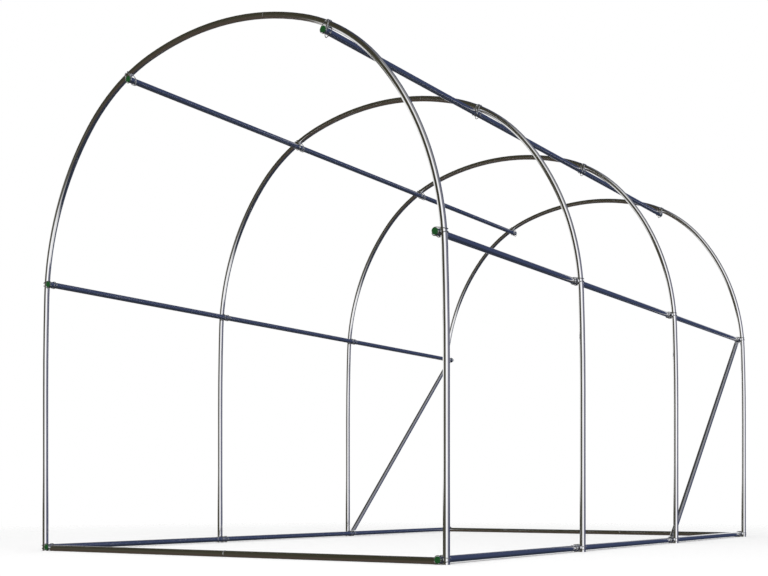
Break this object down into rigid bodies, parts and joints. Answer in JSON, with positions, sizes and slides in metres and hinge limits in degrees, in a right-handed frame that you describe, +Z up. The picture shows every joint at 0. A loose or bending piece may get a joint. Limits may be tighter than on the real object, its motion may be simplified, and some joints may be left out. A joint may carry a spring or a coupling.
{
  "type": "polytunnel greenhouse frame",
  "caption": "Bare tubular steel frame of a walk-in polytunnel: round-topped hoops, purlins, base rails and braces held by wire clips, without its cover.",
  "frame": {"origin": "on the ground, under the middle of the frame", "axes": "+X across the tunnel to the right as seen from the entrance end, +Y along it away from the entrance end, +Z up"},
  "size_m": [2.0426, 3.4906, 2.0859],
  "materials": {
    "tube": "bright galvanised",
    "spring_wire": "bright",
    "cap_plastic": "matt"
  },
  "bodies": {
    "root": {"hoop_1_left": "tube", "hoop_1_right": "tube", "hoop_2_left": "tube", "hoop_2_right": "tube", "hoop_3_left": "tube", "hoop_3_right": "tube", "hoop_4_left": "tube", "hoop_4_right": "tube", "side_purlin_left": "tube", "shoulder_purlin_left": "tube", "side_rail_front_left": "tube", "side_rail_back_left": "tube", "front_rail_left": "tube", "back_rail_left": "tube", "brace_left": "tube", "side_purlin_caps_left": "cap_plastic", "side_purlin_clips_left": "spring_wire", "shoulder_purlin_caps_left": "cap_plastic", "shoulder_purlin_clips_left": "spring_wire", "side_rail_caps_left": "cap_plastic", "side_rail_clips_left": "spring_wire", "side_purlin_right": "tube", "shoulder_purlin_right": "tube", "side_rail_front_right": "tube", "side_rail_back_right": "tube", "front_rail_right": "tube", "back_rail_right": "tube", "brace_right": "tube", "side_purlin_caps_right": "cap_plastic", "side_purlin_clips_right": "spring_wire", "shoulder_purlin_caps_right": "cap_plastic", "shoulder_purlin_clips_right": "spring_wire", "side_rail_caps_right": "cap_plastic", "side_rail_clips_right": "spring_wire"}
  },
  "joints": []
}
